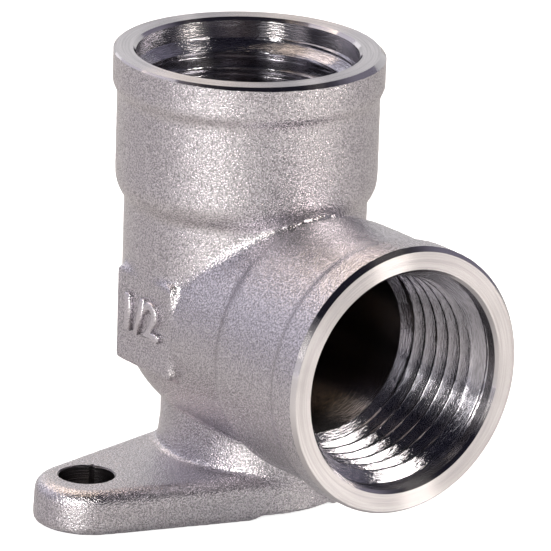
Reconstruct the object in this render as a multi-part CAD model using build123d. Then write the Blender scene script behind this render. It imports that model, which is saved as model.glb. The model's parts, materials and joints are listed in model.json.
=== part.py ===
from build123d import *
import os
from math import acos, degrees, radians, sin, tan

# Wall plate elbow: a one-piece brass forging with two equal female sockets at a right angle.
# An oval stem joins the corner to a plate with two ears, which is screwed to the wall.
# The origin is on the tap socket's axis, in the plane of the wall.
# +Z points away from the wall, the pipe socket opens along -Y and the ears lie along X.
# All sizes are in millimetres.

# Overall places
overall_height = 43.4
pipe_axis_height = 18.0
pipe_reach = 26.2

# Female half inch parallel pipe thread, left here as its core bore
thread_diameter = 20.955
thread_height = 1.162
thread_end_depth = 13.2

# Mouth of a socket, ahead of the thread
entry_clearance = 0.05
entry_depth = 2.0
countersink_width = 0.4
countersink_depth = 0.4

# Waterway behind the threads, left by a pointed drill
waterway_step = 0.7
drill_point_angle = 118.0
drill_overrun = 2.5

# Walls of the socket forging, each standing proud of the one before
neck_wall = 2.185
body_rise = 0.9
rim_rise = 0.45

# Lengths along the socket forging, taken back from its machined face
rim_depth = 3.0
rim_step_length = 1.3
foot_depth = 14.25
shoulder_bend = 3.4
foot_fillet = 0.5
rim_chamfer = 0.35

# Blend in the corner between the two necks
neck_fillet = 1.4

# Flat marking pads on both sides of the corner, flush with the necks
pad_width = 9.0
pad_height = 9.3
pad_lift = 0.2
pad_draft = 4.0
pad_corner_radius = 0.6
pad_edge_fillet = 0.35

# Oval stem between the corner and the plate
stem_half_width = 7.05
stem_half_length = 9.35
stem_flare_height = 4.5
stem_flare = 0.5

# Plate against the wall, with its screw ears
base_shift = -0.6
plate_thickness = 4.2
plate_half_width = 9.9
plate_draft = 2.5
plate_top_fillet = 1.3
plate_wall_fillet = 0.5
ear_radius = 5.35
screw_spacing = 35.0
screw_hole_diameter = 5.3

# Shallow relief that lets the plate bear on its ears
relief_width = 11.0
relief_depth = 0.45
relief_edge_angle = 30.0

# Sizes that follow from the ones above
core_radius = thread_diameter / 2 - thread_height
entry_radius = thread_diameter / 2 + entry_clearance
mouth_radius = entry_radius + countersink_width
waterway_radius = core_radius - waterway_step
neck_radius = core_radius + neck_wall
body_radius = neck_radius + body_rise
rim_radius = body_radius + rim_rise
tap_reach = overall_height - pipe_axis_height
ear_places = (-screw_spacing / 2, screw_spacing / 2)
corner_centre = Pos(0, 0, pipe_axis_height)
to_tap = corner_centre
to_pipe = corner_centre * Rot(90, 0, 0)


def socket_cup(reach):
    """Body, rim band and shoulder of one socket, from just behind its foot to its face."""
    bend_angle = acos(1 - body_rise / shoulder_bend)
    foot = reach - foot_depth
    root = foot - foot_fillet
    bend_end = foot + shoulder_bend * sin(bend_angle)
    rim_end = reach - rim_depth
    step_end = rim_end - rim_step_length
    shoulder = CenterArc(
        (body_radius - shoulder_bend, bend_end), shoulder_bend, -degrees(bend_angle), degrees(bend_angle)
    )
    body = Line(shoulder @ 1, (body_radius, step_end))
    step = Spline(body @ 1, (rim_radius, rim_end), tangents=((0, 1), (0, 1)))
    rim = Polyline(
        step @ 1,
        (rim_radius, reach - rim_chamfer),
        (rim_radius - rim_chamfer, reach),
        (0, reach),
        (0, root),
        (neck_radius, root),
        shoulder @ 0,
    )
    outline = make_face([shoulder, body, step, rim])
    foot_corner = outline.vertices().sort_by_distance((neck_radius, foot))[0]
    return revolve(Plane.XZ * fillet(foot_corner, foot_fillet), Axis.Z)


def neck(reach):
    """Plain cylinder from the corner's centre up inside the socket cup, as far as its rim band."""
    return extrude(Circle(neck_radius), reach - rim_depth)


def marking_pad():
    """Drafted block with a flat face that touches the side of both necks, on the +X side."""
    face = Plane(origin=(neck_radius, 0, pipe_axis_height + pad_lift), x_dir=(0, 1, 0), z_dir=(1, 0, 0))
    outline = RectangleRounded(pad_width, pad_height, pad_corner_radius)
    block = extrude(face * outline, -neck_radius, taper=-pad_draft)
    return fillet(block.faces().sort_by(Axis.X)[-1].edges(), pad_edge_fillet)


def corner():
    """The two necks, rounded at their back and blended where they cross, with both pads."""
    pad = marking_pad()
    block = to_tap * neck(tap_reach) + to_pipe * neck(pipe_reach) + corner_centre * Sphere(neck_radius)
    block = block + pad + Rot(0, 0, 180) * pad
    crossing = block.edges().filter_by(GeomType.ELLIPSE)
    crossing = crossing.filter_by(lambda edge: edge.center().Z > pipe_axis_height + neck_radius / 2)
    return fillet(crossing, neck_fillet)


def stem():
    """Oval column from inside the corner down into the plate, flared towards the plate."""
    base = plate_thickness / 2
    flare_top = base + stem_flare_height
    oval = Ellipse(stem_half_width, stem_half_length)
    wide_oval = Ellipse(stem_half_width + stem_flare, stem_half_length + stem_flare)
    column = extrude(Pos(0, base_shift, flare_top) * oval, pipe_axis_height - flare_top)
    flare = loft([Pos(0, base_shift, base) * wide_oval, Pos(0, base_shift, flare_top) * oval], ruled=True)
    return column + flare


def lozenge(height, inset):
    """Outline of the plate at a height: two ears and a wide middle, joined by tangent lines."""
    discs = Pos(0, base_shift) * Circle(plate_half_width - inset)
    for place in ear_places:
        discs += Pos(place, base_shift) * Circle(ear_radius - inset)
    return Pos(0, 0, height) * make_hull(discs.edges())


def wall_plate():
    """Lozenge plate with drafted sides and rounded edges, relieved under its middle."""
    draft_inset = plate_thickness * tan(radians(plate_draft))
    plate = loft([lozenge(0, 0), lozenge(plate_thickness, draft_inset)], ruled=True)
    plate = fillet(plate.faces().sort_by(Axis.Z)[-1].edges(), plate_top_fillet)
    plate = fillet(plate.faces().sort_by(Axis.Z)[0].edges(), plate_wall_fillet)
    groove = Trapezoid(relief_width, 2 * relief_depth, relief_edge_angle)
    return plate - extrude(Plane.XZ * groove, 2 * plate_half_width, both=True)


def machined_bore(reach):
    """What the turning tools take out of one socket: countersink, entry, thread core and waterway."""
    entry_end = reach - entry_depth
    core_start = entry_end - (entry_radius - core_radius)
    core_end = reach - thread_end_depth
    waterway_start = core_end - waterway_step
    point_length = waterway_radius / tan(radians(drill_point_angle / 2))
    outline = Polyline(
        (0, reach + countersink_depth),
        (mouth_radius + countersink_width, reach + countersink_depth),
        (entry_radius, reach - countersink_depth),
        (entry_radius, entry_end),
        (core_radius, core_start),
        (core_radius, core_end),
        (waterway_radius, waterway_start),
        (waterway_radius, -drill_overrun),
        (0, -drill_overrun - point_length),
        close=True,
    )
    return revolve(Plane.XZ * make_face(outline), Axis.Z)


forging = corner() + to_tap * socket_cup(tap_reach) + to_pipe * socket_cup(pipe_reach)
forging = forging + stem() + wall_plate()
elbow = forging - to_tap * machined_bore(tap_reach) - to_pipe * machined_bore(pipe_reach)
for place in ear_places:
    elbow -= Pos(place, 0) * Cylinder(screw_hole_diameter / 2, 3 * plate_thickness)

os.makedirs("parts", exist_ok=True)
solid = elbow.solid()
solid.label = "elbow_body"
export_step(solid, "parts/elbow_body.step")
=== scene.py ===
import bpy
import bmesh
import json
from math import atan2, cos, degrees, hypot, pi, radians, sin
from mathutils import Matrix, Vector, noise


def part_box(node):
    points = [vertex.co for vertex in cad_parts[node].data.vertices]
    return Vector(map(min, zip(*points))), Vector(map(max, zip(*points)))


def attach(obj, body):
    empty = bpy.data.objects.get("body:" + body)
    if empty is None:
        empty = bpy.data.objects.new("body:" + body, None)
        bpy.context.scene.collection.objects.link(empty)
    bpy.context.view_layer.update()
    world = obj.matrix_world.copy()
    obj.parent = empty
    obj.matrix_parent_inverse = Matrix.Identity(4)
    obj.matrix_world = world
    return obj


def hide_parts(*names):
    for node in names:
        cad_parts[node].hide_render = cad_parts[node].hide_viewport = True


# Wall plate elbow: one nickel-plated brass forging, blasted all over, then bored, threaded
# and faced. Lengths are in metres, written as millimetres times mm.
mm = 0.001

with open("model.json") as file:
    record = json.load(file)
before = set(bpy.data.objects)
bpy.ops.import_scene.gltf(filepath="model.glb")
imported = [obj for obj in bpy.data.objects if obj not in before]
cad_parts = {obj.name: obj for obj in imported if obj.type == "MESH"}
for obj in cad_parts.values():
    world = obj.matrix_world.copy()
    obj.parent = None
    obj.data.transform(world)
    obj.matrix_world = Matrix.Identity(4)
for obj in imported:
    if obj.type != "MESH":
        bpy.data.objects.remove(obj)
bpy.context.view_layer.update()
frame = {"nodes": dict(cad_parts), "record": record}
print("frame loaded")

mounts = {m["name"]: m for m in frame["record"]["mounts"]}
cadLow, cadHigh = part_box("elbow_body")

cornerCentre = Vector((0, 0, mounts["pipe_socket"]["pos_m"][2]))  # where the socket axes cross
tapReach = cadHigh.z - cornerCentre.z
pipeReach = -cadLow.y
coreRadius = mounts["tap_socket"]["dims"]["r_mm"] * mm  # thread core
screwReach = mounts["wall_screws"]["dims"]["spacing_x_mm"] * mm / 2  # middle to screw hole
toTap = Matrix.Translation(cornerCentre)
toPipe = Matrix.Translation(cornerCentre) @ Matrix.Rotation(pi / 2, 4, "X")
levelGap = 0.001 * mm  # points nearer in height than this lie level


def meshFromBmesh(bm, name):
    mesh = bpy.data.meshes.new(name)
    bm.to_mesh(mesh)
    bm.free()
    return mesh


def addObject(name, data):
    obj = bpy.data.objects.new(name, data)
    bpy.context.scene.collection.objects.link(obj)
    return obj


def finishedMesh(obj):  # what its modifiers or its curve make of an object
    graph = bpy.context.evaluated_depsgraph_get()
    return bpy.data.meshes.new_from_object(obj.evaluated_get(graph))


def applyModifiers(obj):
    mesh = finishedMesh(obj)
    obj.modifiers.clear()
    obj.data = mesh


def boundaryLoop(bm, z):  # open edges lying at one height
    return [
        e for e in bm.edges if e.is_boundary and all(abs(v.co.z - z) < levelGap for v in e.verts)
    ]


def stepOut(bm, loop, profile):  # carries an open round edge on through radii and heights
    for radius, z in profile:
        made = bmesh.ops.extrude_edge_only(bm, edges=loop)["geom"]
        for v in (g for g in made if isinstance(g, bmesh.types.BMVert)):
            turn = atan2(v.co.y, v.co.x)
            v.co = (radius * cos(turn), radius * sin(turn), z)
        loop = [g for g in made if isinstance(g, bmesh.types.BMEdge)]
    return loop


# The forging as it left the blasting cabin, before any cut

forging = {
    "weld": 0.0005 * mm,
    "voxel": 0.3 * mm,
    "smoothing": 1,  # rounds of smoothing, which melt the edges as dies and blasting do
    "smoothFactor": 0.5,
    "plugRadius": 10.9 * mm,
    "plugSegments": 96,
    "rimRadius": 12.85 * mm,
    "rimDepth": 1.5 * mm,
    "rimSegments": 192,
    "stock": 0.8 * mm,  # left on the rims for facing
    "ballSegments": 64,  # the ball fills the corner between the two plugs
    "ballRings": 32,
    "earPlugRadius": 3.2 * mm,
    "earPlugLength": 4.16 * mm,
    "earPlugMiddle": 2.1 * mm,
    "earPlugSegments": 48,
    "pipeLift": (-0.06 * mm, 0, 0.13 * mm),  # the dies left the pipe socket a little high
    "liftStart": 11.0 * mm,  # how far along the pipe socket the lift starts
    "liftRun": 6.0 * mm,
    "waveHeight": 0.012 * mm,
    "waveLength": 2.5 * mm,
    "grainHeight": 0.025 * mm,
    "grainLength": 0.6 * mm,
    "sharpAngle": 25,
}


def addBar(bm, place, radius, length, middle, segments):  # a capped round bar along +Z
    bmesh.ops.create_cone(
        bm,
        cap_ends=True,
        segments=segments,
        radius1=radius,
        radius2=radius,
        depth=length,
        matrix=place @ Matrix.Translation((0, 0, middle)),
    )


def bluntPlug(bm, place, reach):
    # Fills a socket again and stands proud of its face, as the raw forging does
    height = reach - forging["rimDepth"]
    thickness = forging["rimDepth"] + forging["stock"]
    middle = height + thickness / 2
    addBar(bm, place, forging["plugRadius"], height, height / 2, forging["plugSegments"])
    addBar(bm, place, forging["rimRadius"], thickness, middle, forging["rimSegments"])


def makeForging():
    bm = bmesh.new()
    bm.from_mesh(frame["nodes"]["elbow_body"].data)
    bmesh.ops.remove_doubles(bm, verts=bm.verts, dist=forging["weld"])
    bluntPlug(bm, toTap, tapReach)
    bluntPlug(bm, toPipe, pipeReach)
    bmesh.ops.create_uvsphere(
        bm,
        u_segments=forging["ballSegments"],
        v_segments=forging["ballRings"],
        radius=forging["plugRadius"],
        matrix=toTap,
    )
    for side in (-1, 1):
        ear = Matrix.Translation((side * screwReach, 0, 0))
        addBar(
            bm, ear, forging["earPlugRadius"], forging["earPlugLength"],
            forging["earPlugMiddle"], forging["earPlugSegments"],
        )
    raw = addObject("wallPlateElbow", meshFromBmesh(bm, "wallPlateElbow"))
    remesh = raw.modifiers.new("remesh", "REMESH")
    remesh.mode = "VOXEL"
    remesh.voxel_size = forging["voxel"]
    applyModifiers(raw)
    return raw


def softenForging(obj):
    # Melts the voxel steps and every edge, then lays a faint forging wave over the skin
    bm = bmesh.new()
    bm.from_mesh(obj.data)
    for _ in range(forging["smoothing"]):
        bmesh.ops.smooth_vert(
            bm,
            verts=bm.verts,
            factor=forging["smoothFactor"],
            use_axis_x=True,
            use_axis_y=True,
            use_axis_z=True,
        )
    bm.normal_update()
    for v in bm.verts:
        outward = (-v.co.y - forging["liftStart"]) / forging["liftRun"]
        v.co += Vector(forging["pipeLift"]) * min(max(outward, 0), 1)
        wave = noise.noise(v.co / forging["waveLength"]) * forging["waveHeight"]
        grain = noise.noise(v.co / forging["grainLength"]) * forging["grainHeight"]
        v.co += v.normal * (wave + grain)
        v.co.z = max(v.co.z, 0)
    bm.to_mesh(obj.data)
    bm.free()


body = makeForging()
print("forging remeshed, faces:", len(body.data.polygons))
softenForging(body)
print("forging softened")


def addNode(tree, kind, inputs, **settings):  # an input is a value, or an output to link from
    node = tree.nodes.new("ShaderNode" + kind)
    for name, value in settings.items():
        setattr(node, name, value)
    for name, value in inputs.items():
        if isinstance(value, bpy.types.NodeSocket):
            tree.links.new(value, node.inputs[name])
        else:
            node.inputs[name].default_value = value
    return node


def newGroup(name, inputs, outputs):
    group = bpy.data.node_groups.new(name, "ShaderNodeTree")
    for inOut, sockets in (("INPUT", inputs), ("OUTPUT", outputs)):
        for socket, kind in sockets.items():
            group.interface.new_socket(socket, in_out=inOut, socket_type="NodeSocket" + kind)
    enter = group.nodes.new("NodeGroupInput")
    leave = group.nodes.new("NodeGroupOutput")
    return group, enter.outputs, leave.inputs


def newNickel(name, colour, roughness):
    material = bpy.data.materials.new(name)
    material.use_nodes = True
    tree = material.node_tree
    shader = tree.nodes["Principled BSDF"]
    shader.inputs["Base Color"].default_value = colour
    shader.inputs["Metallic"].default_value = 1
    shader.inputs["Roughness"].default_value = roughness
    return material, tree, shader, addNode(tree, "TexCoord", {}).outputs["Object"]


def engrave(tree, shader, height, depth):
    bump = addNode(tree, "Bump", {"Height": height, "Distance": depth})
    tree.links.new(bump.outputs["Normal"], shader.inputs["Normal"])


# The blasted skin. One noise gives both the height of the grains and their colour: painted shade
# in the pits and painted glints on the peaks, over a random tone.

blasting = {
    "nickel": (0.635, 0.608, 0.65, 1),
    "roughness": 0.26,
    "grainSize": 0.155 * mm,
    "grainDepth": 0.075 * mm,
    "grainDetail": 1.5,
    "grainRoughness": 0.6,
    "pitHeight": 0.36,  # noise heights between which a pit turns into a peak
    "peakHeight": 0.62,
    # Colour of the grains: painted shade in the pits, painted glints on the peaks
    "pitShade": 0.5,
    "peakGlint": 1.12,
}


def makeBlastedGrain():
    group, enter, leave = newGroup(
        "blastedGrain",
        {"Position": "Vector", "Nickel": "Color", "Pit Shade": "Float"},
        {"Height": "Float", "Colour": "Color"},
    )
    grain = addNode(group, "TexNoise", {
        "Vector": enter["Position"],
        "Scale": 1 / blasting["grainSize"],
        "Detail": blasting["grainDetail"],
        "Roughness": blasting["grainRoughness"],
    })
    # Painted pit shade and painted peak glints, taken from the grain's height
    pits = addNode(group, "MapRange", {
        "Value": grain.outputs["Fac"],
        "From Min": blasting["pitHeight"],
        "From Max": blasting["peakHeight"],
        "To Min": enter["Pit Shade"],
        "To Max": blasting["peakGlint"],
    })
    tint = addNode(
        group, "Mix", {"Factor": 1, "A": enter["Nickel"], "B": pits.outputs["Result"]},
        data_type="RGBA", blend_type="MULTIPLY", clamp_result=False,
    )
    group.links.new(grain.outputs["Fac"], leave["Height"])
    group.links.new(tint.outputs["Result"], leave["Colour"])
    return group


def makeBlasted(name, pitShade):
    nickel = blasting["nickel"]
    material, tree, shader, spot = newNickel(name, nickel, blasting["roughness"])
    inputs = {"Position": spot, "Nickel": nickel, "Pit Shade": pitShade}
    grain = addNode(tree, "Group", inputs, node_tree=blastedGrain)
    engrave(tree, shader, grain.outputs["Height"], blasting["grainDepth"])
    tree.links.new(grain.outputs["Colour"], shader.inputs["Base Color"])
    return material


# The machined surfaces of a socket, in the order of the socket tool's material slots

turned = {
    "bored": {
        # A darker copy of the nickel: painted shade inside the bore
        "nickel": (0.42, 0.41, 0.455, 1),
        "roughness": 0.17,
        "feed": 0.12 * mm,  # distance between two turning marks
        "markDepth": 0.04 * mm,
        "stretch": 0.15,  # how fast a mark changes along its ring
        "valleyShade": 0.7,  # painted shade in the valleys of the marks: how dark they are
    },
    "faced": {
        "nickel": (0.6, 0.575, 0.6, 1),
        "roughness": 0.24,
        "feed": 0.11 * mm,
        "markDepth": 0.008 * mm,
        "stretch": 0.015,
        "valleyShade": 0.82,
    },
    "entry": {
        # A darker copy of the nickel: painted shade in the bore's plain entry
        "nickel": (0.47, 0.455, 0.49, 1),
        "roughness": 0.22,
        "feed": 0.12 * mm,
        "markDepth": 0.04 * mm,
        "stretch": 0.12,
        "valleyShade": 0.7,
    },
    "edge": {
        "nickel": (0.5, 0.48, 0.5, 1),
        "roughness": 0.1,
        "feed": 0.15 * mm,
        "markDepth": 0.006 * mm,
        "stretch": 0.05,
        "valleyShade": 1,
    },
}
turning = {
    "markDetail": 2,
    "radiusShare": 0.7,  # of the radius against the depth, so that a cone has rings too
    "valleyHeight": 0.35,  # noise heights between which a valley turns into a ridge
    "ridgeHeight": 0.6,
    "deepShadeNickel": (0.12, 0.1, 0.09, 1),  # painted shade: the nickel darkens to near black deep in the bore
    "deepShadeFrom": 9.0 * mm,  # heights over the corner's centre between which the painted shade fades
    "deepShadeTo": 14.0 * mm,
    "anisotropy": 1,
}


def makeTurningMarks():  # rings about +Z: by radius on a face, by depth in a bore
    group, enter, leave = newGroup(
        "turningMarks",
        {
            "Position": "Vector", "Scale": "Float", "Stretch": "Float",
            "Nickel": "Color", "Valley Shade": "Float",
        },
        {"Height": "Float", "Colour": "Color"},
    )
    split = addNode(group, "SeparateXYZ", {0: enter["Position"]}).outputs
    flat = addNode(group, "CombineXYZ", {"X": split["X"], "Y": split["Y"]}).outputs[0]
    radius = addNode(group, "VectorMath", {0: flat}, operation="LENGTH")
    along = addNode(
        group, "Math", {0: radius.outputs["Value"], 1: turning["radiusShare"], 2: split["Z"]},
        operation="MULTIPLY_ADD",
    )
    stretched = addNode(
        group, "VectorMath", {0: flat, "Scale": enter["Stretch"]}, operation="SCALE"
    )
    around = addNode(group, "SeparateXYZ", {0: stretched.outputs[0]}).outputs
    ring = addNode(
        group, "CombineXYZ", {"X": along.outputs[0], "Y": around["X"], "Z": around["Y"]}
    )
    marks = addNode(group, "TexNoise", {
        "Vector": ring.outputs[0],
        "Scale": enter["Scale"],
        "Detail": turning["markDetail"],
    })
    # Painted shade deep in the bore: the nickel darkens to near black towards the corner
    thin = addNode(group, "MapRange", {
        "Value": split["Z"],
        "From Min": turning["deepShadeFrom"],
        "From Max": turning["deepShadeTo"],
    })
    paintedDeepShade = addNode(
        group, "Mix",
        {"Factor": thin.outputs["Result"], "A": turning["deepShadeNickel"], "B": enter["Nickel"]},
        data_type="RGBA",
    )
    # Painted shade in the valleys of the turning marks
    shade = addNode(group, "MapRange", {
        "Value": marks.outputs["Fac"],
        "From Min": turning["valleyHeight"],
        "From Max": turning["ridgeHeight"],
        "To Min": enter["Valley Shade"],
    })
    marked = addNode(
        group, "Mix",
        {"Factor": 1, "A": paintedDeepShade.outputs["Result"], "B": shade.outputs["Result"]},
        data_type="RGBA", blend_type="MULTIPLY",
    )
    group.links.new(marks.outputs["Fac"], leave["Height"])
    group.links.new(marked.outputs["Result"], leave["Colour"])
    return group


def makeTurned(name, kind, place):
    surface = turned[kind]
    material, tree, shader, spot = newNickel(name, surface["nickel"], surface["roughness"])
    toSocket = place.inverted()
    aim = addNode(tree, "Mapping", {  # from the object's frame into the socket's
        "Vector": spot,
        "Location": toSocket.to_translation(),
        "Rotation": toSocket.to_euler(),
    }).outputs["Vector"]
    marks = addNode(tree, "Group", {
        "Position": aim,
        "Scale": 1 / surface["feed"],
        "Stretch": surface["stretch"],
        "Nickel": surface["nickel"],
        "Valley Shade": surface["valleyShade"],
    }, node_tree=turningMarks)
    engrave(tree, shader, marks.outputs["Height"], surface["markDepth"])
    tree.links.new(marks.outputs["Colour"], shader.inputs["Base Color"])
    # Highlights stretch across the marks: out from the axis on a face, along it in a bore
    across = addNode(tree, "Mapping", {
        "Vector": aim if kind == "faced" else (0, 0, 1),
        "Rotation": place.to_euler(),
        "Scale": (1, 1, 0) if kind == "faced" else (1, 1, 1),
    }, vector_type="VECTOR")
    toWorld = addNode(
        tree, "VectorTransform", {0: across.outputs[0]},
        vector_type="VECTOR", convert_from="OBJECT", convert_to="WORLD",
    )
    shader.inputs["Anisotropic"].default_value = turning["anisotropy"]
    tree.links.new(toWorld.outputs[0], shader.inputs["Tangent"])
    return material


# What the turning tools take out of a socket, in the socket's own frame with +Z out of its mouth

boring = {
    "pitch": 1.8143 * mm,
    "threadDepth": 1.162 * mm,
    "flankSlope": 0.5206,  # tangent of half the 55 degree thread angle
    "cornerRun": 0.03,  # rounding of the ridges, as a share of the pitch
    "steps": 120,  # round one turn
    "spareTurns": 2.5,  # turned past both ends of the core, then cut off level
    "turnsBelow": 1.2,  # of those, the ones past the inner end
    "weld": 0.01 * mm,
    "tapStart": 0,  # where round the bore each thread starts
    "pipeStart": -2.7,
    "entryRadius": 10.5275 * mm,
    "tapEntry": 1.9 * mm,
    "pipeEntry": 1.3 * mm,
    "countersink": 0.3 * mm,
    "threadEnd": 11.8 * mm,  # where the last ridge runs out
    "coreEnd": 11.9 * mm,
    "runOutSlope": 1.6,
    "waterwayRadius": 8.6155 * mm,
    "waterwayEdge": 0.7 * mm,
    "overrun": 2.5 * mm,  # of the drill past the corner's centre
    "pointLength": 5.18 * mm,
    "pointRadius": 0.05 * mm,
    "faceRadius": 12.53 * mm,  # flat turned face, out to its chamfer
    "chamferRun": 1.0 * mm,  # how far the chamfering cut goes on into the air
    "allowance": 1.2 * mm,  # how far ahead of the face the facing cut reaches
    "tapOffset": (-0.14 * mm, 0.09 * mm, 0),  # the forging was chucked a little off centre
}
tapCut = Matrix.Translation(boring["tapOffset"]) @ toTap
slots = list(turned)


def threadRadius(depth, radius, entryDepth):
    # The ridges start on a 45 degree cone behind the plain entry and fade out at the thread's end
    leadIn = boring["entryRadius"] - (depth - entryDepth)
    runOut = coreRadius + max(0, boring["threadEnd"] - depth) * boring["runOutSlope"]
    return max(min(radius, runOut), leadIn, coreRadius)


def threadSection():  # height along one pitch and how far out of the core, both from 0 to 1
    flank = boring["threadDepth"] * boring["flankSlope"] / boring["pitch"]
    flat = 0.5 - flank
    run = boring["cornerRun"]
    corners = (flat / 2, flat / 2 + flank, flat * 1.5 + flank, flat * 1.5 + 2 * flank)

    def trapezoid(t):
        return min(max((0.5 - abs((t % 1) - 0.5) - flat / 2) / flank, 0), 1)

    heights = [c + side * run for c in corners for side in (-1, 0, 1)]
    return [(t, (trapezoid(t - run) + trapezoid(t) + trapezoid(t + run)) / 3) for t in heights]


def spinThread(bm, bottom, top, startTurn):  # a helical wall, open and level at both ends
    pitch = boring["pitch"]
    chain = []
    for turn in range(int((top - bottom) / pitch + boring["spareTurns"])):
        for t, swell in threadSection():
            radius = coreRadius + boring["threadDepth"] * swell
            height = bottom + (turn + t - boring["turnsBelow"]) * pitch
            chain.append(bm.verts.new((radius, 0, height)))
    for lower, upper in zip(chain, chain[1:]):
        bm.edges.new((lower, upper))
    start = Matrix.Rotation(startTurn, 3, "Z")
    bmesh.ops.rotate(bm, verts=bm.verts, cent=(0, 0, 0), matrix=start)
    bmesh.ops.spin(
        bm,
        geom=bm.verts[:] + bm.edges[:],
        cent=(0, 0, 0),
        axis=(0, 0, 1),
        dvec=(0, 0, pitch / boring["steps"]),  # one pitch up in one turn makes the helix
        angle=2 * pi,
        steps=boring["steps"],
        use_merge=False,
    )
    bmesh.ops.remove_doubles(bm, verts=bm.verts, dist=boring["weld"])
    for height, up in ((top, 1), (bottom, -1)):
        bmesh.ops.bisect_plane(
            bm,
            geom=bm.verts[:] + bm.edges[:] + bm.faces[:],
            plane_co=(0, 0, height),
            plane_no=(0, 0, up),
            clear_outer=True,
        )


def socketTool(name, place, reach, startTurn, entryDepth):
    top = reach - entryDepth
    bottom = reach - boring["coreEnd"]
    entry = boring["entryRadius"]
    outer = boring["faceRadius"] + boring["chamferRun"]
    bm = bmesh.new()
    spinThread(bm, bottom, top, startTurn)
    for v in bm.verts:
        radius = hypot(v.co.x, v.co.y)
        grow = threadRadius(reach - v.co.z, radius, entryDepth) / radius
        v.co.x *= grow
        v.co.y *= grow
    mouth = stepOut(bm, boundaryLoop(bm, top), (
        (entry, reach - boring["countersink"]),
        (entry + boring["countersink"], reach),
        (boring["faceRadius"], reach),
        (outer, reach - boring["chamferRun"]),
        (outer, reach + boring["allowance"]),
    ))
    bmesh.ops.holes_fill(bm, edges=mouth, sides=0)
    inner = stepOut(bm, boundaryLoop(bm, bottom), (
        (boring["waterwayRadius"], bottom - boring["waterwayEdge"]),
        (boring["waterwayRadius"], -boring["overrun"]),
        (boring["pointRadius"], -boring["overrun"] - boring["pointLength"]),
    ))
    bmesh.ops.holes_fill(bm, edges=inner, sides=0)
    bmesh.ops.recalc_face_normals(bm, faces=bm.faces)
    for f in bm.faces:  # all that is left stays in the first slot, bored
        middle = f.calc_center_median()
        radius = hypot(middle.x, middle.y)
        if all(abs(v.co.z - reach) < levelGap for v in f.verts):
            f.material_index = slots.index("faced")
        elif top < middle.z < reach and radius < entry:
            f.material_index = slots.index("entry")
        elif radius > entry:  # the countersink and the chamfer
            f.material_index = slots.index("edge")
    bmesh.ops.transform(bm, matrix=place, verts=bm.verts)
    return addObject(name, meshFromBmesh(bm, name))


def cut(obj, tool):
    boolean = obj.modifiers.new("cut", "BOOLEAN")
    boolean.operation = "DIFFERENCE"
    boolean.solver = "EXACT"
    boolean.material_mode = "TRANSFER"
    boolean.object = tool
    applyModifiers(obj)
    bpy.data.objects.remove(tool)


blastedGrain = makeBlastedGrain()
turningMarks = makeTurningMarks()
body.data.materials.append(makeBlasted("blastedNickel", blasting["pitShade"]))
for name, place, reach in (("tap", tapCut, tapReach), ("pipe", toPipe, pipeReach)):
    tool = socketTool(name + "Tool", place, reach, boring[name + "Start"], boring[name + "Entry"])
    for kind in slots:
        surfaceName = name + kind.capitalize() + "Nickel"
        tool.data.materials.append(makeTurned(surfaceName, kind, place))
    cut(body, tool)
    print("bored, threaded and faced:", name)

# Drilled screw holes in the ears

drilling = {
    "radius": 2.65 * mm,
    "segments": 64,
    "edgeBreak": 0.12 * mm,
    "height": 4.2 * mm,
    "overrun": 2.0 * mm,
    "nickTurn": 44,  # the left hole's edge was nicked here
    "nickWidth": 4,
    "nickDepth": 0.3 * mm,
    "nickDrop": 0.24 * mm,
    # Near black: painted shade inside the screw holes
    "nickel": (0.18, 0.17, 0.18, 1),
    "roughness": 0.25,
    "feed": 0.12 * mm,
    "markDepth": 0.04 * mm,
    "stretch": 0.015,
}


def drillTool(name, side):
    top = drilling["height"]
    wide = drilling["radius"] + drilling["edgeBreak"]
    bm = bmesh.new()
    bmesh.ops.create_circle(
        bm,
        segments=drilling["segments"],
        radius=drilling["radius"],
        matrix=Matrix.Translation((0, 0, -drilling["overrun"])),
    )
    stepOut(bm, bm.edges[:], (
        (drilling["radius"], top - drilling["edgeBreak"]),
        (wide, top),
        (wide, top + drilling["overrun"]),
    ))
    bmesh.ops.holes_fill(bm, edges=bm.edges, sides=0)
    bmesh.ops.recalc_face_normals(bm, faces=bm.faces)
    for v in bm.verts:
        off = abs(degrees(atan2(v.co.y, v.co.x)) - drilling["nickTurn"])
        if side < 0 and off < drilling["nickWidth"] and v.co.z > top - drilling["nickDrop"]:
            v.co.xy *= 1 + drilling["nickDepth"] / drilling["radius"]
    ear = Matrix.Translation((side * screwReach, 0, 0))
    bmesh.ops.transform(bm, matrix=ear, verts=bm.verts)
    return addObject(name, meshFromBmesh(bm, name))


def makeDrilled():
    material, tree, shader, spot = newNickel(
        "drilledNickel", drilling["nickel"], drilling["roughness"]
    )
    scale = (drilling["stretch"], drilling["stretch"], 1)
    squash = addNode(tree, "Mapping", {"Vector": spot, "Scale": scale})
    marks = addNode(
        tree, "TexNoise", {"Vector": squash.outputs["Vector"], "Scale": 1 / drilling["feed"]}
    )
    engrave(tree, shader, marks.outputs["Fac"], drilling["markDepth"])
    return material


drilledNickel = makeDrilled()
for side in (-1, 1):
    tool = drillTool("drill", side)
    tool.data.materials.append(drilledNickel)
    cut(body, tool)
print("ears drilled, faces:", len(body.data.polygons))

body.data.shade_smooth()
body.data.set_sharp_from_angle(angle=radians(forging["sharpAngle"]))
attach(body, "root")
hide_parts("elbow_body")

# Raised size mark on the flat pad of the left side

sizeMark = {
    "text": "1/2",
    "height": 3.6 * mm,
    "fontShare": 1.35,  # size of the font over the height of its figures
    "rise": 0.42 * mm,
    "sink": 0.15 * mm,
    "edge": 0.26 * mm,
    "edgeSteps": 3,
    "thin": 0.07 * mm,  # taken off the strokes before the round edge is put on
    "weld": 0.0005 * mm,
    "padFace": -11.5 * mm,
    "centre": (0.3 * mm, 18.6 * mm),  # y and z of its middle
    "pitShade": 0.9,  # lighter painted pit shade: handling has rubbed the pits out of it
}


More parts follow.
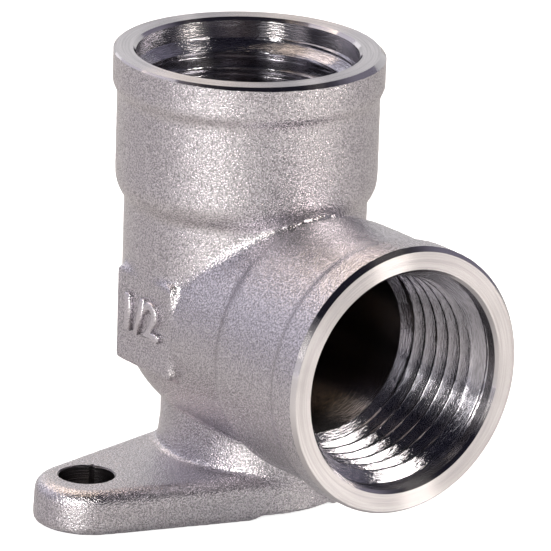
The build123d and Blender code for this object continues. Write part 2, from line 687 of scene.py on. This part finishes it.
def makeSizeMark():
    curve = bpy.data.curves.new("sizeMark", "FONT")
    curve.body = sizeMark["text"]
    curve.size = sizeMark["height"] * sizeMark["fontShare"]
    curve.align_x = "CENTER"
    curve.align_y = "CENTER"
    curve.extrude = (sizeMark["rise"] + sizeMark["sink"]) / 2 - sizeMark["edge"]
    curve.bevel_depth = sizeMark["edge"]
    curve.bevel_resolution = sizeMark["edgeSteps"]
    curve.offset = -sizeMark["thin"]
    lettering = addObject("sizeMark", curve)
    mesh = finishedMesh(lettering)
    bpy.data.objects.remove(lettering)
    y, z = sizeMark["centre"]
    x = sizeMark["padFace"] - (sizeMark["rise"] - sizeMark["sink"]) / 2
    upright = Matrix(((0, 0, -1, x), (-1, 0, 0, y), (0, 1, 0, z), (0, 0, 0, 1)))  # faces -X
    bm = bmesh.new()
    bm.from_mesh(mesh)
    bmesh.ops.remove_doubles(bm, verts=bm.verts, dist=sizeMark["weld"])
    bmesh.ops.recalc_face_normals(bm, faces=bm.faces)
    bmesh.ops.transform(bm, matrix=upright, verts=bm.verts)
    bm.to_mesh(mesh)
    bm.free()
    mark = addObject("sizeMark", mesh)
    mark.data.materials.clear()
    mark.data.materials.append(makeBlasted("rubbedNickel", sizeMark["pitShade"]))
    mark.data.shade_smooth()
    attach(mark, "root")


makeSizeMark()
print("size mark raised")

# Camera, lamps and stage

cameraView = {
    "target": (1.769 * mm, -2.744 * mm, 21.502 * mm),
    "azimuth": -35.937,
    "elevation": 17.956,
    "roll": 1.754,
    "distance": 864.2 * mm,
    "lens": 597.26,
    "clipStart": 0.05,
    "clipEnd": 20,
}
lamps = {
    "leftCore": {
        "azimuth": -64, "elevation": 20, "width": 0.15, "height": 0.2,
        "power": 1.6, "colour": (1, 0.97, 0.88),
    },
    "leftSoft": {
        "azimuth": -70, "elevation": 12, "width": 0.5, "height": 0.6,
        "power": 1.05, "colour": (1, 0.97, 0.97),
    },
    "rightCore": {
        "azimuth": 28, "elevation": 27, "width": 0.17, "height": 0.24,
        "power": 3.1, "colour": (1, 0.95, 0.85),
    },
    "backWall": {
        "azimuth": -155, "elevation": 32, "width": 0.8, "height": 0.6,
        "power": 1.0, "colour": (1, 0.98, 1),
    },
    "backTop": {
        "azimuth": 180, "elevation": 60, "width": 0.45, "height": 0.4,
        "power": 1.2, "colour": (1, 0.82, 0.6),
    },
    "frontLow": {
        "azimuth": -12, "elevation": 3, "width": 0.3, "height": 0.05,
        "power": 0.16, "colour": (1, 0.98, 0.96),
    },
}
studio = {
    "lampDistance": 0.6,
    "room": (0.29, 0.275, 0.34, 1),
    "darkRoom": (0.02, 0.02, 0.03, 1),  # the unlit room in front and above
    "darkAzimuth": -15,
    "darkElevation": 48,
    "darkStart": 0.3,  # cosines from the middle of the dark between which it fades in
    "darkFull": 0.75,
    "white": (1, 1, 1, 1),
    "floorColour": (0.68, 0.68, 0.68, 1),
    "tableRoughness": 0.3,
    "cameraGlow": 0.9,  # leaves room for the object's shadow on the white
    "floorMetalGlow": 0.05,
    "backdropMetalGlow": 0.62,
    "floorReach": 1.5,  # from its middle to its edges
    "backdropDistance": 1.1,
    "backdropWidth": 1.7,
    "backdropHeight": 0.86,
}


def direction(azimuth, elevation):
    a, e = radians(azimuth), radians(elevation)
    return Vector((sin(a) * cos(e), -cos(a) * cos(e), sin(e)))


def lookingBack(target, azimuth, elevation, distance):  # a place that faces its target
    back = direction(azimuth, elevation)
    turn = (-back).to_track_quat("-Z", "Y").to_matrix().to_4x4()
    return Matrix.Translation(target + back * distance) @ turn


def makeCamera():
    data = bpy.data.cameras.new("camera")
    data.lens = cameraView["lens"]
    data.clip_start = cameraView["clipStart"]
    data.clip_end = cameraView["clipEnd"]
    camera = addObject("camera", data)
    target = Vector(cameraView["target"])
    azimuth, elevation = cameraView["azimuth"], cameraView["elevation"]
    lean = Matrix.Rotation(radians(cameraView["roll"]), 4, "Z")
    spot = lookingBack(target, azimuth, elevation, cameraView["distance"])
    camera.matrix_world = spot @ lean
    bpy.context.scene.camera = camera


def makeLamp(name, spec):
    data = bpy.data.lights.new(name, "AREA")
    data.shape = "RECTANGLE"
    data.size = spec["width"]
    data.size_y = spec["height"]
    data.energy = spec["power"]
    data.color = spec["colour"]
    azimuth, elevation = spec["azimuth"], spec["elevation"]
    spot = lookingBack(cornerCentre, azimuth, elevation, studio["lampDistance"])
    addObject(name, data).matrix_world = spot


def makeWhiteStage(name, metalGlow):  # white to the camera, with a glow of its own in the metal
    material = bpy.data.materials.new(name)
    material.use_nodes = True
    tree = material.node_tree
    shader = tree.nodes["Principled BSDF"]
    shader.inputs["Base Color"].default_value = studio["floorColour"]
    shader.inputs["Roughness"].default_value = studio["tableRoughness"]
    shader.inputs["Emission Color"].default_value = studio["white"]
    path = addNode(tree, "LightPath", {}).outputs
    mirrored = addNode(
        tree, "Math", {0: path["Is Glossy Ray"], 1: path["Is Transmission Ray"]},
        operation="MAXIMUM",
    )
    metal = addNode(tree, "Math", {0: mirrored.outputs[0], 1: metalGlow}, operation="MULTIPLY")
    level = addNode(
        tree, "Math", {0: path["Is Camera Ray"], 1: studio["cameraGlow"], 2: metal.outputs[0]},
        operation="MULTIPLY_ADD",
    )
    tree.links.new(level.outputs[0], shader.inputs["Emission Strength"])
    return material


def makeFloor():
    bm = bmesh.new()
    bmesh.ops.create_grid(bm, x_segments=1, y_segments=1, size=studio["floorReach"])
    floor = addObject("floor", meshFromBmesh(bm, "floor"))
    floor.data.materials.append(makeWhiteStage("whiteFloor", studio["floorMetalGlow"]))


def makeBackdrop():
    bm = bmesh.new()
    bmesh.ops.create_grid(bm, x_segments=1, y_segments=1, size=0.5)  # one metre square
    behind = direction(cameraView["azimuth"], 0)
    turn = behind.to_track_quat("Z", "Y").to_matrix().to_4x4()
    size = Matrix.Diagonal((studio["backdropWidth"], studio["backdropHeight"], 1, 1))
    spot = Vector((0, 0, studio["backdropHeight"] / 2)) - behind * studio["backdropDistance"]
    bmesh.ops.transform(bm, matrix=Matrix.Translation(spot) @ turn @ size, verts=bm.verts)
    backdrop = addObject("backdrop", meshFromBmesh(bm, "backdrop"))
    backdrop.data.materials.append(makeWhiteStage("whiteBackdrop", studio["backdropMetalGlow"]))


def makeWorld():
    world = bpy.data.worlds.new("studio")
    world.use_nodes = True
    bpy.context.scene.world = world
    tree = world.node_tree
    room = tree.nodes["Background"]
    towards = direction(studio["darkAzimuth"], studio["darkElevation"])
    way = addNode(tree, "TexCoord", {}).outputs["Generated"]
    toDark = addNode(tree, "VectorMath", {0: way, 1: towards}, operation="DOT_PRODUCT")
    fade = addNode(tree, "MapRange", {
        "Value": toDark.outputs["Value"],
        "From Min": studio["darkStart"],
        "From Max": studio["darkFull"],
    }, interpolation_type="SMOOTHSTEP")
    shade = addNode(
        tree, "Mix",
        {"Factor": fade.outputs["Result"], "A": studio["room"], "B": studio["darkRoom"]},
        data_type="RGBA",
    )
    tree.links.new(shade.outputs["Result"], room.inputs["Color"])
    seen = addNode(tree, "Background", {"Color": studio["white"]})
    path = addNode(tree, "LightPath", {})
    mix = addNode(tree, "MixShader", {
        0: path.outputs["Is Camera Ray"],
        1: room.outputs[0],
        2: seen.outputs[0],
    })
    tree.links.new(mix.outputs[0], tree.nodes["World Output"].inputs["Surface"])


makeCamera()
for name, spec in lamps.items():
    makeLamp(name, spec)
makeFloor()
makeBackdrop()
makeWorld()
bpy.context.scene.view_settings.view_transform = "Standard"
print("stage set")
